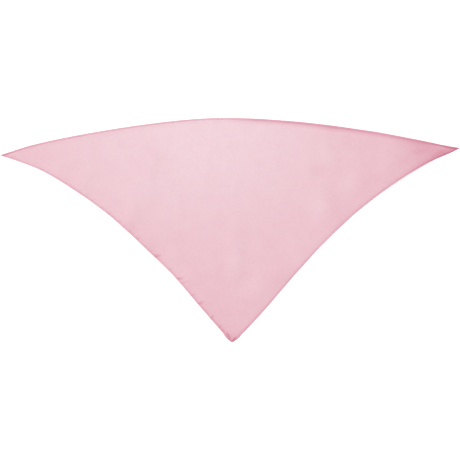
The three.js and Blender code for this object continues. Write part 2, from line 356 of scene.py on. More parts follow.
def puckers(xy):
    """The puckers' relief, each a valley with a ridge above it, and the painted shade in their valleys."""
    shape, shade = np.zeros(len(xy)), np.zeros(len(xy))
    ridge_off, ridge_wide = PUCKER_RIDGE
    for start, heading, long, wide, deep in pucker_frames():
        rel = xy - start
        u = rel @ heading / long
        v = (rel[:, 1] * heading[0] - rel[:, 0] * heading[1]) / wide
        taper = np.clip(1 - np.abs(u) ** PUCKER_ENDS, 0, 1)
        valley = np.exp(-v**2)
        ridge = np.exp(-((v - ridge_off) / ridge_wide) ** 2)
        shape += deep * taper * (ridge - PUCKER_VALLEY * valley)
        shade += deep / PUCKER_DEPTH * taper * valley
    return shape, shade


def creases(xy):
    """How high the low creases lie, before the cloth settles."""
    lift = np.zeros(len(xy))
    for across, down, heading, long, wide, high in CREASES:
        u, v = from_row(xy, across, down, heading)
        lift += high * bell(u / long) * np.exp(-(v / wide) ** 2)
    return lift


def bunches(xy):
    """The bunched places' relief, each a dip with a fold above it, and how much deeper their pink is: partly
    doubled cloth, partly painted shade.
    """
    shape, tint = np.zeros(len(xy)), np.zeros(len(xy))
    fold_off, fold_wide = BUNCH_FOLD
    for across, down, heading, long, wide, much, high in BUNCHES:
        u, v = from_row(xy, across, down, heading)
        fold = bell((v / wide - fold_off) / fold_wide)
        shape += high * bell(u / long) * (fold - BUNCH_DIP * bell(v / wide))
        tint += much * bell(u / long) * bell(v / wide)
    return shape, tint


def unevenness(xy, length, seed):
    """Smooth noise, from about -0.5 to 0.5, whose lumps are about as long as the length."""
    return np.array([noise.noise((x / length, y / length, seed)) for x, y in xy])


def edge_relief(xy):
    """What the hems' stitching does to the cloth beside them."""
    lift = np.zeros(len(xy))
    for edge, tree in edge_trees.items():
        off, along = nearest(tree, LINE_STEP, xy)
        fade = bell(off / GATHER_REACH)
        lift += GATHER_HEIGHT[edge] * gather_wave(edge, along + GATHER_SLANT * off) * fade
    return lift + puckers(xy)[0] + bunches(xy)[0]


def patch(edge_rings, count):
    """The places of a triangular grid inside three edges, row by row from the neck edge."""
    places = [(count - r - c, c, r) for r in range(count + 1) for c in range(count - r + 1)]
    shares = np.array(places) / count
    corners = np.array([edge_rings[0][0], edge_rings[1][0], edge_rings[2][0]])
    xy = shares @ corners
    for e, line in enumerate(edge_rings):
        start, end = shares[:, e], shares[:, (e + 1) % 3]
        total = start + end
        t = np.divide(end, total, out=np.zeros_like(end), where=total > 0)
        along = lengths_along(line)
        on_edge = np.stack([np.interp(t * along[-1], along, line[:, k]) for k in (0, 1)], axis=1)
        on_chord = line[0] + t[:, None] * (line[-1] - line[0])
        xy += total[:, None] * (on_edge - on_chord)
    return xy


def grid_rows(count):
    """The first index of each row of a triangular grid, and the row and column of each place."""
    first = np.concatenate([[0], np.cumsum(np.arange(count + 1, 0, -1))])
    rows = np.repeat(np.arange(count + 1), np.arange(count + 1, 0, -1))
    return first, rows, np.arange(len(rows)) - first[rows]


def grid_faces(count):
    """The triangles of a triangular grid."""
    first, _, _ = grid_rows(count)
    faces = []
    for r in range(count):
        a = first[r] + np.arange(count - r)
        below = first[r + 1] + np.arange(count - r)
        faces.append(np.stack([a, below, a + 1], axis=1))
        faces.append(np.stack([a[:-1] + 1, below[:-1], below[:-1] + 1], axis=1))
    return np.vstack(faces)


# How the cloth settles: it has a little more room than its hems, so it lies on the floor in low wrinkles.
SETTLE_GRID = 120  # stations along each edge of the settling grid
SETTLE_ROOM = 0.006  # how much longer the cloth is than the place it lies in, as a share
SETTLE_STEPS = 120
SETTLE_ROUNDS = 6
SETTLE_SPANS = ((1, 0.5), (2, 0.125), (4, 0.06))  # how many stations each set of ties spans, and its hold
SETTLE_FALL = 0.02 * MM  # what gravity adds to the fall in each step
SETTLE_KEEP = 0.86  # the share of the speed that is left after each step
SETTLE_GRIP = 0.05  # the share of a sideways shift that the floor's grip takes back in each round
SETTLE_TOUCH = 0.05 * MM  # a place that is this close to the floor or its swell touches it
SETTLE_DRAG = 0.3  # the share of its sideways speed that a place keeps while it touches
SETTLE_BLUR = 5 * MM  # the settled heights are smoothed over this
SETTLE_BLUR_REACH = 2.5 * SETTLE_BLUR  # and places further off than this don't count

# How high the cloth starts over its swells. Each noise is (how long its lumps are, its seed).
START_LIFT = 1.4 * MM
START_LIFT_NOISE = (45 * MM, 1.7)
START_UNEVEN = 0.8 * MM
START_UNEVEN_NOISE = (20 * MM, 4.1)
START_CREASE = 3  # how many times their own height the creases start with

RASTER_STEP = 4 * MM
RASTER_EDGE = 16 * MM  # the raster of settled heights reaches this far outside the outline's box


def ties_of(count, span):
    """Pairs of places that are some stations apart, in lists that use no place twice."""
    first, rows, columns = grid_rows(count)
    for down, across in ((0, 1), (1, 0), (1, -1)):
        r, c = rows + span * down, columns + span * across
        inside = (r <= count) & (c >= 0) & (c <= count - r)
        for turn in (0, 1):
            mine = inside & (((rows if down else columns) // span) % 2 == turn)
            yield np.flatnonzero(mine), first[r[mine]] + c[mine]


def settle():
    """Lets the cloth sink onto its swells, held at its hems: the places, and how high it lies over them."""
    xy = patch(ring(PANEL_INSET), SETTLE_GRID)
    _, rows, columns = grid_rows(SETTLE_GRID)
    rim = (rows == 0) | (columns == 0) | (columns == SETTLE_GRID - rows)
    under = swell(xy) + ripple(xy)
    rest = np.column_stack([xy, under])
    lift = START_LIFT * (1 + unevenness(xy, *START_LIFT_NOISE))
    lift += START_UNEVEN * unevenness(xy, *START_UNEVEN_NOISE)
    place = rest.copy()
    place[:, 2] += np.where(rim, 0, np.maximum(lift + START_CREASE * creases(xy), 0))
    ties = []
    for span, hold in SETTLE_SPANS:
        for a, b in ties_of(SETTLE_GRID, span):
            ties.append((a, b, np.linalg.norm(rest[b] - rest[a], axis=1) * (1 + SETTLE_ROOM), hold))
    speed = np.zeros_like(place)
    for _ in range(SETTLE_STEPS):
        before = place
        place = before + SETTLE_KEEP * speed
        place[:, 2] -= SETTLE_FALL
        for _ in range(SETTLE_ROUNDS):
            for a, b, long, hold in ties:
                apart = place[b] - place[a]
                now = np.sqrt((apart * apart).sum(axis=1))
                move = apart * (hold * (1 - long / now))[:, None]
                place[a] += move
                place[b] -= move
            place[:, :2] += SETTLE_GRIP * (rest[:, :2] - place[:, :2])
            place[rim] = rest[rim]
            place[:, 2] = np.maximum(place[:, 2], under)
        speed = place - before
        speed[place[:, 2] <= under + SETTLE_TOUCH, :2] *= SETTLE_DRAG
    return xy, place[:, 2] - under


def smoothed_raster(xy, values):
    """A regular raster of values that are known at scattered places."""
    tree = tree_of(xy)
    low, high = box_low - RASTER_EDGE, box_high + RASTER_EDGE
    counts = np.ceil((high - low) / RASTER_STEP).astype(int)
    raster = np.zeros(counts)
    for i in range(counts[0]):
        for j in range(counts[1]):
            at = (low[0] + i * RASTER_STEP, low[1] + j * RASTER_STEP, 0)
            found = tree.find_range(at, SETTLE_BLUR_REACH)
            if found:
                near = [f[1] for f in found]
                weight = np.exp(-0.5 * (np.array([f[2] for f in found]) / SETTLE_BLUR) ** 2)
                raster[i, j] = (weight * values[near]).sum() / weight.sum()
    return raster


def read_raster(raster, xy):
    """The raster's value at each place, through a cubic B-spline, whose four weights each way sum to 6."""
    at = (xy - (box_low - RASTER_EDGE)) / RASTER_STEP
    at = np.clip(at, 1, np.array(raster.shape) - 3)
    cell = at.astype(int)
    weights = []
    for t in (at - cell).T:
        weights.append([(1 - t) ** 3, 3 * t**3 - 6 * t**2 + 4, 3 * (t + t**2 - t**3) + 1, t**3])
    total = np.zeros(len(xy))
    for i in range(4):
        for j in range(4):
            total += weights[0][i] * weights[1][j] * raster[cell[:, 0] + i - 1, cell[:, 1] + j - 1]
    return total / 6**2


settled = smoothed_raster(*settle())

SOFT_HEIGHT = 0.2 * MM  # a faint unevenness all over the cloth
SOFT_NOISE = (24 * MM, 8.7)
FLOOR_SHIFT = 0.1 * MM  # the cloth is let down by this much,
FLOOR_EASE = 0.25 * MM  # and where that would put it below the floor it eases off over this height


def base_height(xy):
    """The underside of the hems: the big swells, the ripples, the settled wrinkles and the gathers."""
    wrinkles = creases(xy) if settled is None else read_raster(settled, xy)
    soft = SOFT_HEIGHT * unevenness(xy, *SOFT_NOISE)
    height = swell(xy) + ripple(xy) + wrinkles + soft + edge_relief(xy)
    return np.logaddexp(0, (height - FLOOR_SHIFT) / FLOOR_EASE) * FLOOR_EASE


def refine(xy, faces, chosen):
    """Splits the chosen triangles in four, and their neighbours so that the mesh stays whole."""
    edges = np.sort(np.stack([faces, np.roll(faces, -1, axis=1)], axis=2), axis=2)
    unique, which = np.unique(edges.reshape(-1, 2), axis=0, return_inverse=True)
    which = which.reshape(-1, 3)
    split = np.zeros(len(unique), dtype=bool)
    split[which[chosen].ravel()] = True
    middle = np.full(len(unique), -1)
    middle[split] = len(xy) + np.arange(split.sum())
    xy = np.vstack([xy, xy[unique[split]].mean(axis=1)])
    cut = split[which]
    parts = [faces[~cut.any(axis=1)]]
    a, b, c = faces[cut.all(axis=1)].T
    ab, bc, ca = middle[which[cut.all(axis=1)]].T
    parts += [np.stack(t, axis=1) for t in ((a, ab, ca), (ab, b, bc), (ca, bc, c), (ab, bc, ca))]
    for turn in range(3):
        f, w = np.roll(faces, -turn, axis=1), np.roll(which, -turn, axis=1)
        first, second, third = np.roll(cut, -turn, axis=1).T
        one, two = first & ~second & ~third, first & second & ~third
        a, b, c = f[one].T
        ab = middle[w[one, 0]]
        parts += [np.stack(t, axis=1) for t in ((a, ab, c), (ab, b, c))]
        a, b, c = f[two].T
        ab, bc = middle[w[two, 0]], middle[w[two, 1]]
        parts += [np.stack(t, axis=1) for t in ((ab, b, bc), (a, ab, bc), (a, bc, c))]
    return xy, np.vstack(parts)


def rim_of(faces):
    """The border edges of a mesh, in the direction that its faces have them."""
    edges = np.stack([faces, np.roll(faces, -1, axis=1)], axis=2).reshape(-1, 2)
    _, which, times = np.unique(np.sort(edges, axis=1), axis=0, return_inverse=True, return_counts=True)
    return edges[times[which.ravel()] == 1]


def make_object(name, vertices, faces, material, attributes=None):
    mesh = bpy.data.meshes.new(name)
    mesh.from_pydata([tuple(v) for v in vertices], [], [tuple(int(i) for i in f) for f in faces])
    for key, values in (attributes or {}).items():
        values = np.asarray(values, dtype=np.float32)
        kind = "FLOAT_VECTOR" if values.ndim == 2 else "FLOAT"
        layer = mesh.attributes.new(key, kind, "POINT")
        layer.data.foreach_set("vector" if values.ndim == 2 else "value", values.ravel())
    mesh.materials.append(material)
    mesh.shade_smooth()
    obj = bpy.data.objects.new(name, mesh)
    bpy.context.scene.collection.objects.link(obj)
    return obj


# How deep the pink is, from about 0 to 1. TINT_EVERYWHERE is the cloth's own pink; the rows are painted
# light
# and shade: lighter towards the upper left, darker towards the right tip, and small lighter and darker
# patches.
# Each row adds to it: middle across and down, heading, half length and half width as shares of TIP_SPAN,
# and how much.
TINT_EVERYWHERE = 0.33
PAINTED_LIGHT_AND_SHADE = [
    # across, down, heading, long, wide, much
    (0.424, 0.03, 0, 0.563, 0.41, -0.38),
    (1.004, 0.14, 170, 0.163, 0.16, 0.4),
    (0.513, 0.615, 88, 0.06, 0.03, -0.06),
    (0.692, 0.4, 80, 0.06, 0.04, -0.09),
    (0.706, 0.16, 90, 0.04, 0.03, -0.05),
    (0.554, 0.745, 60, 0.04, 0.03, -0.05),
    (0.685, 0.24, 20, 0.05, 0.03, 0.035),
    (0.735, 0.2, 96, 0.06, 0.014, 0.04),
    (0.79, 0.2, 100, 0.06, 0.016, 0.035),
    (0.83, 0.2, 95, 0.05, 0.022, -0.035),
    (0.733, 0.43, 110, 0.06, 0.03, 0.05),
    (0.757, 0.3, 100, 0.05, 0.035, -0.06),
    (0.609, 0.71, 20, 0.06, 0.03, 0.05),
    (0.3, 0.5, 135, 0.07, 0.04, 0.05),
    (0.478, 0.71, 95, 0.06, 0.025, 0.05),
    (0.522, 0.72, 0, 0.19, 0.13, -0.08),
    (0.32, 0.17, 90, 0.08, 0.07, 0.08),
    (0.02, 0.165, 0, 0.05, 0.05, -0.06),
    (0.76, 0.09, -8, 0.13, 0.03, 0.04),
    (0.905, 0.12, -12, 0.06, 0.022, 0.07),
    (0.385, 0.66, 132, 0.07, 0.04, -0.055),
    (0.645, 0.57, 40, 0.07, 0.055, -0.055),
    (0.8, 0.3, 40, 0.09, 0.05, 0.045),
]

# Painted shade along each hem and beside it: (share along the edge, how much deeper the pink is at the
# outline).
PAINTED_SHADE_BESIDE = {
    "neck": [
        (0, 0.03), (0.1, 0.04), (0.3, 0.15), (0.4, 0.11), (0.49, 0.06), (0.57, 0.43),
        (0.7, 0.41), (0.8, 0.32), (0.9, 0.28), (0.96, 0.12), (1, 0),
    ],
    "right": [
        (0, 0.1), (0.1, 0.18), (0.2, 0.15), (0.3, 0.06), (0.4, 0.11), (0.6, 0.02), (0.8, 0.02), (1, 0.1),
    ],
    "left": [(0, 0.16), (0.1, 0.13), (0.2, 0.05), (0.8, 0.05), (0.9, 0.01), (1, 0)],
}
SHADE_REACH = 16 * MM

# What each hem itself adds: (share along the edge, how much deeper the pink is in the middle of the hem),
# partly for its layers of cloth and partly painted shade.
HEM_LAYERS_AND_SHADE = {
    "neck": [
        (0, 0.43), (0.08, 0.33), (0.2, 0.2), (0.3, 0.24), (0.4, 0.38), (0.5, 0.27),
        (0.6, 0.2), (0.7, 0.22), (0.8, 0.2), (0.9, 0.2), (1, 0.5),
    ],
    "right": [
        (0, 0.4), (0.08, 0.33), (0.2, 0.12), (0.3, 0.2), (0.5, 0.06), (0.6, 0.17), (0.9, 0.18), (1, 0.2),
    ],
    "left": [(0, 0.2), (0.08, 0.1), (0.5, 0.08), (0.7, 0.22), (0.8, 0.17), (0.95, 0.17), (1, 0.25)],
}
RIM_PAINTED_SHADE = 0.6  # painted shade: how much more of that the outline gets, and the hem's inner side less, as a share
SEAM_PAINTED_SHADE = 0.06  # painted shade along the stitching: how much deeper the pink is there,
SEAM_PAINTED_SHADE_WIDTH = 0.1  # over this share of the hem's width
WOBBLE_TINT = 0.08  # how much deeper the pink is where the hem is thicker

# Materials.
PINKS = [
    # tint, colour in linear light: from one layer lying on white to several layers on each other, and the
    # deeper pinks also for painted shade
    (-0.2, (0.874, 0.671, 0.718)),
    (0, (0.838, 0.607, 0.661)),
    (0.66, (0.738, 0.37, 0.452)),
    (1.4, (0.585, 0.165, 0.247)),
]
THREAD_PITCH = 0.42 * MM  # between two threads of the weave
CLOTH_RELIEF = 0.06 * MM  # how far the weave and its slubs stand up
HEM_RELIEF = 0.07 * MM
SLUB_SCALES = (1800, 26)  # the slubs' noise across a thread and along it, in lumps per metre
CLOUD_SCALE = 34  # lumps per metre
MOTTLE_SCALE = 150
CLOUD_TINT = 0.16  # how much each of them moves the tint
MOTTLE_TINT = 0.17
SLUB_TINT = 0.1
WEAVE_TINT = -0.08
SLUB_RELIEF = 1.2  # how much each of them stands up beside the weave
CLOUD_RELIEF = 1.5
ROUGHNESS = 0.78
ROUGHNESS_SPREAD = 0.2

THREAD_PINK = (0.74, 0.36, 0.45)
THREAD_SHADE = 0.84  # the colour between the stitching thread's strands, as a share of the pink
THREAD_TWIST = (2600, 2600, 2600)  # lumps per metre
THREAD_RELIEF = 0.05 * MM


def new_material(name):
    material = bpy.data.materials.new(name)
    material.use_nodes = True
    return material, material.node_tree.nodes, material.node_tree.links


def math_node(nodes, links, operation, a, b=None):
    node = nodes.new("ShaderNodeMath")
    node.operation = operation
    for socket, value in zip(node.inputs, (a, b)):
        if value is None:
            continue
        if isinstance(value, bpy.types.NodeSocket):
            links.new(value, socket)
        else:
            socket.default_value = value
    return node.outputs[0]


def noise_node(nodes, links, vector, scale, detail):
    node = nodes.new("ShaderNodeTexNoise")
    node.inputs["Scale"].default_value = scale
    node.inputs["Detail"].default_value = detail
    links.new(vector, node.inputs["Vector"])
    return node.outputs["Fac"]


def scaled(nodes, links, vector, scale):
    node = nodes.new("ShaderNodeMapping")
    node.inputs["Scale"].default_value = scale
    links.new(vector, node.inputs["Vector"])
    return node.outputs["Vector"]


def pink_ramp(nodes, links, tint):
    """The cloth's colour for a tint."""
    low, high = PINKS[0][0], PINKS[-1][0]
    shifted = math_node(nodes, links, "SUBTRACT", tint, low)
    ramp = nodes.new("ShaderNodeValToRGB")
    links.new(math_node(nodes, links, "DIVIDE", shifted, high - low), ramp.inputs["Fac"])
    stops = ramp.color_ramp.elements
    while len(stops) < len(PINKS):
        stops.new(0.5)
    for stop, (at, colour) in zip(stops, PINKS):
        stop.position = (at - low) / (high - low)
        stop.color = (*colour, 1)
    return ramp.outputs["Color"]


def cloth_material(name, relief_height):
    """Plain weave along the cut's two short sides, with slubs, mottling and a soft sheen."""
    material, nodes, links = new_material(name)
    shader = nodes["Principled BSDF"]
    tint = nodes.new("ShaderNodeAttribute")
    tint.attribute_name = "tint"
    cut = nodes.new("ShaderNodeAttribute")
    cut.attribute_name = "cut"
    place = cut.outputs["Vector"]

    def calc(operation, a, b=None):
        return math_node(nodes, links, operation, a, b)

    def centred(value, strength):
        return calc("MULTIPLY", calc("SUBTRACT", value, 0.5), strength)

    parts = nodes.new("ShaderNodeSeparateXYZ")
    links.new(place, parts.inputs[0])
    turns = math.pi / THREAD_PITCH
    warp = calc("SINE", calc("MULTIPLY", parts.outputs["X"], turns))
    weft = calc("SINE", calc("MULTIPLY", parts.outputs["Y"], turns))
    weave = calc("ABSOLUTE", calc("MULTIPLY", warp, weft))

    across, along = SLUB_SCALES
    slub_warp = noise_node(nodes, links, scaled(nodes, links, place, (across, along, 1)), 1.0, 2.0)
    slub_weft = noise_node(nodes, links, scaled(nodes, links, place, (along, across, 1)), 1.0, 2.0)
    cloud = noise_node(nodes, links, place, CLOUD_SCALE, 4.0)
    mottle = noise_node(nodes, links, place, MOTTLE_SCALE, 3.0)

    # The tint attribute brings in the deeper pink of layered cloth and the painted light and shade.
    depth = tint.outputs["Fac"]
    for value, strength in (
        (cloud, CLOUD_TINT),
        (mottle, MOTTLE_TINT),
        (slub_warp, SLUB_TINT),
        (slub_weft, SLUB_TINT),
        (weave, WEAVE_TINT),
    ):
        depth = calc("ADD", depth, centred(value, strength))
    links.new(pink_ramp(nodes, links, depth), shader.inputs["Base Color"])

    links.new(calc("ADD", centred(mottle, ROUGHNESS_SPREAD), ROUGHNESS), shader.inputs["Roughness"])
    shader.inputs["Specular IOR Level"].default_value = 0.25
    shader.inputs["Sheen Weight"].default_value = 0.12
    shader.inputs["Sheen Roughness"].default_value = 0.45
    shader.inputs["Sheen Tint"].default_value = (1, 0.86, 0.9, 1)

    relief = weave
    for value, share in ((slub_warp, SLUB_RELIEF), (slub_weft, SLUB_RELIEF), (cloud, CLOUD_RELIEF)):
        relief = calc("ADD", relief, calc("MULTIPLY", value, share))
    bump = nodes.new("ShaderNodeBump")
    bump.inputs["Strength"].default_value = 0.6
    bump.inputs["Distance"].default_value = relief_height
    links.new(relief, bump.inputs["Height"])
    links.new(bump.outputs["Normal"], shader.inputs["Normal"])
    return material


def thread_material():
    """The stitching thread: a little glossier than the cloth, and mottled by its twist."""
    material, nodes, links = new_material("stitch_thread")
    shader = nodes["Principled BSDF"]
    place = nodes.new("ShaderNodeTexCoord").outputs["Object"]
    twist = noise_node(nodes, links, scaled(nodes, links, place, THREAD_TWIST), 1.0, 2.0)
    mix = nodes.new("ShaderNodeMix")
    mix.data_type = "RGBA"
    mix.inputs["A"].default_value = (*THREAD_PINK, 1)
    mix.inputs["B"].default_value = (*(THREAD_SHADE * c for c in THREAD_PINK), 1)
    links.new(twist, mix.inputs["Factor"])
    links.new(mix.outputs["Result"], shader.inputs["Base Color"])
    shader.inputs["Roughness"].default_value = 0.5
    shader.inputs["Sheen Weight"].default_value = 0.2
    bump = nodes.new("ShaderNodeBump")
    bump.inputs["Distance"].default_value = THREAD_RELIEF
    bump.inputs["Strength"].default_value = 0.5
    links.new(twist, bump.inputs["Height"])
    links.new(bump.outputs["Normal"], shader.inputs["Normal"])
    return material


cloth = cloth_material("pink_plain_weave", CLOTH_RELIEF)
hem_cloth = cloth_material("pink_hem_weave", HEM_RELIEF)
thread = thread_material()


def tint_at(xy):
    """How deep the pink is, with the painted light and shade of the tint rows and the bunched places, apart
    from what the hems and the puckers add.
    """
    tint = np.full(len(xy), TINT_EVERYWHERE)
    for across, down, heading, long, wide, much in PAINTED_LIGHT_AND_SHADE:
        u, v = from_row(xy, across, down, heading)
        tint += much * bell(u / (long * TIP_SPAN)) * bell(v / (wide * TIP_SPAN))
    return tint + bunches(xy)[1]


def on_edge_rows(rows, along, edge):
    """The value of a table of (share along the edge, value) at places along the edge."""
    shares, values = zip(*rows)
    return np.interp(along / edge_length(edge), shares, values)


def painted_shade_beside_hems(xy):
    """How much deeper the pink is beside the hems: painted shade."""
    tint = np.zeros(len(xy))
    for edge, tree in edge_trees.items():
        off, along = nearest(tree, LINE_STEP, xy)
        tint += on_edge_rows(PAINTED_SHADE_BESIDE[edge], along, edge) * bell(off / SHADE_REACH)
    return tint


# The threads run along the two short sides of the cut, from the bottom point to each tip.
grain = np.array([
    (left_tip - point) / np.linalg.norm(left_tip - point),
    (right_tip - point) / np.linalg.norm(right_tip - point),
])
to_cut = np.linalg.inv(grain.T)


def cut_place(xy):
    """Where on the flat cut a place of the lying cloth is, along its two sets of threads."""
    flat = (xy - (point - centre)) @ to_cut.T
    return np.column_stack([flat, np.zeros(len(xy))])


CORNER_RADII = (1.0 * MM, 0.2 * MM, 3 * MM)  # left tip, right tip, bottom point
CORNER_SPAN = 20 * MM  # a corner's angle is measured over this stretch of its two edges
FLARE = 0.34  # how much wider the folded hems make the cloth just above the bottom point, as a share
FLARE_PLACE = 4 * MM  # up from the point
FLARE_REACH = 17 * MM


def corner_frame(e):
    """A corner's place, the direction from it into the cloth, and half its angle."""
    span = round(CORNER_SPAN / LINE_STEP)
    apex = lines[EDGE_NAMES[e]][0]
    ahead = lines[EDGE_NAMES[e]][span] - apex
    behind = lines[EDGE_NAMES[e - 1]][-1 - span] - apex
    ahead, behind = ahead / np.linalg.norm(ahead), behind / np.linalg.norm(behind)
    return apex, (ahead + behind) / np.linalg.norm(ahead + behind), math.acos(ahead @ behind) / 2


def shaped_corners(xy):
    """Rounds the corners a little, and widens the bottom point, which its folded hems push apart."""
    xy = xy.copy()
    for e, radius in enumerate(CORNER_RADII):
        apex, inwards, half = corner_frame(e)
        middle = apex + inwards * radius / math.sin(half)
        rel = xy - middle
        towards = np.arctan2(rel[:, 0] * -inwards[1] + rel[:, 1] * inwards[0], -(rel @ inwards))
        room = math.pi / 2 - half
        scale = np.where(np.abs(towards) < room, np.cos(room - np.abs(towards)), 1)
        xy = middle + rel * scale[:, None]
    apex, inwards, _ = corner_frame(EDGE_NAMES.index("left"))
    up = (xy - apex) @ inwards
    sideways = xy - apex - up[:, None] * inwards
    return xy + sideways * (FLARE * bell((up - FLARE_PLACE) / FLARE_REACH))[:, None]


def make_panel():
    """The thin sheet: a top and an underside of one triangular grid, finer near the hems, and a rim."""
    xy = patch(ring(PANEL_INSET), PANEL_STEPS)
    faces = grid_faces(PANEL_STEPS)
    for edges, reach in ((EDGE_NAMES, FINE_REACH), ([PUCKER_EDGE], FINEST_REACH)):
        trees = [edge_trees[edge] for edge in edges]
        middles = xy[faces].mean(axis=1)
        off = np.min([nearest(tree, LINE_STEP, middles)[0] for tree in trees], axis=0)
        xy, faces = refine(xy, faces, off < reach)
    xy = shaped_corners(xy)
    offs = np.min([nearest(tree, LINE_STEP, xy)[0] for tree in edge_trees.values()], axis=0)
    seat = PANEL_CLEAR + (PANEL_SEAT - PANEL_CLEAR) * bell((offs - PANEL_INSET) / SEAT_REACH)
    low = base_height(xy) + seat
    count = len(xy)
    vertices = np.vstack([np.column_stack([xy, low + PANEL_WALL]), np.column_stack([xy, low])])
    a, b = rim_of(faces).T
    side = np.vstack([np.stack([b, a, a + count], axis=1), np.stack([b, a + count, b + count], axis=1)])
    faces = np.vstack([faces, faces[:, ::-1] + count, side])
    # The tint carries painted light and shade: across the cloth, beside the hems and in the puckers.
    tint = tint_at(xy) + painted_shade_beside_hems(xy) + PUCKER_PAINTED_SHADE * puckers(xy)[1]
    attributes = {"tint": np.tile(tint, 2), "cut": np.tile(cut_place(xy), (2, 1))}
    return make_object("cloth_panel", vertices, faces, cloth, attributes)


# The hems.
HEM_WALL = 1.2 * MM  # the hem's thickness
HEM_STEP = 1 * MM  # between two sections of a hem
HEM_WIDTHS = {  # (share along the edge, width in metres)
    "neck": [(0, 0.0042), (0.1, 0.0036), (0.45, 0.0036), (0.56, 0.0048), (0.8, 0.005), (1, 0.0046)],
    "right": [(0, 0.0046), (0.15, 0.0042), (0.85, 0.0042), (1, 0.0052)],
    "left": [(0, 0.0054), (0.15, 0.0046), (0.8, 0.0042), (1, 0.0042)],
}
WIDTH_UNEVEN = 0.25 * MM  # how much a hem's width comes and goes
WIDTH_UNEVEN_LENGTH = 21 * MM
WIDTH_SEED = 7.3
WOBBLE = 0.1  # how much its thickness comes and goes, as a share
WOBBLE_LENGTH = 30 * MM
WOBBLE_SEED = 4.2
SEAM_SHARE = 0.78  # the stitches run this far across a hem
SEAM_DIP = 0.3  # how much they flatten its section, as a share,
SEAM_DIP_WIDTH = 0.07  # over this share of its width
ROPE_LENGTH = 9 * MM  # between two of the slanted ridges that the turned edge makes
ROPE_HEIGHT = 0.11 * MM
ROPE_SLANT = 11 * MM  # how far along the edge a ridge runs while it crosses the hem
ROPE_UNEVEN = 5  # how far the wobble shifts the ridges, in radians
SECTION_TOP = 14  # points round a section's upper side
SECTION_UNDER = 9
SECTION_BLUNT = 0.45  # the power that squares the section off: 1 is an ellipse


def hem_section():
    """Round the hem: the share of its width from the outline, the share of its thickness, and which side."""
    top = np.linspace(0, np.pi, SECTION_TOP, endpoint=False)
    under = np.linspace(np.pi, 0, SECTION_UNDER, endpoint=False)
    across = np.concatenate([(1 - np.cos(top)) / 2, (1 - np.cos(under)) / 2])
    bulge = np.concatenate([np.sin(top) ** SECTION_BLUNT, -np.sin(under) ** SECTION_BLUNT])
    dip = SEAM_DIP * np.exp(-(((across - SEAM_SHARE) / SEAM_DIP_WIDTH) ** 2))
    return across, 0.5 + 0.5 * bulge * (1 - dip), np.sign(bulge)


def hem_width(edge, along):
    row = EDGE_NAMES.index(edge) * WIDTH_SEED
    uneven = np.array([noise.noise((s / WIDTH_UNEVEN_LENGTH, row, 0)) for s in along])
    return on_edge_rows(HEM_WIDTHS[edge], along, edge) + WIDTH_UNEVEN * uneven


def place_on(line, normals, along, inset):
    """Places that lie so far along a dense line, and so far inwards from it."""
    at = np.clip(along / LINE_STEP, 0, len(line) - 1)
    i = np.minimum(at.astype(int), len(line) - 2)
    f = (at - i)[:, None]
    spot = line[i] * (1 - f) + line[i + 1] * f
    normal = normals[i] * (1 - f) + normals[i + 1] * f
    return spot + normal * inset[:, None]


def corner_trims(inset):
    """How far each edge's line, moved inwards, stops short of its two corners."""
    moved, meets = moved_inwards(inset)
    trims = []
    for e in range(3):
        at_start = meets[e][2]
        at_end = len(moved[e]) - 1 - meets[(e + 1) % 3][1]
        trims.append((at_start * LINE_STEP, at_end * LINE_STEP))
    return trims


TRIM_INSET = 6 * MM  # the mitres are measured this far inside the outline
TRIM_GAP = 0.08 * MM  # and each hem stops this much short of them
edge_trims = dict(zip(EDGE_NAMES, corner_trims(TRIM_INSET)))


def hem_points(edge, along, across):
    """Places on a hem, from how far along its edge and what share across its width they are.

    The mitres at its two ends cut the lines short, so how far along each place really lies comes back too.
    """
    line = lines[edge]
    length = edge_length(edge)
    trims = edge_trims[edge]
    inset = across * hem_width(edge, np.clip(along, trims[0], length - trims[1]))
    start, end = (trim * inset / TRIM_INSET + TRIM_GAP for trim in trims)
    along = np.clip(along, start, length - end)
    return shaped_corners(place_on(line, inward(line), along, inset)), along


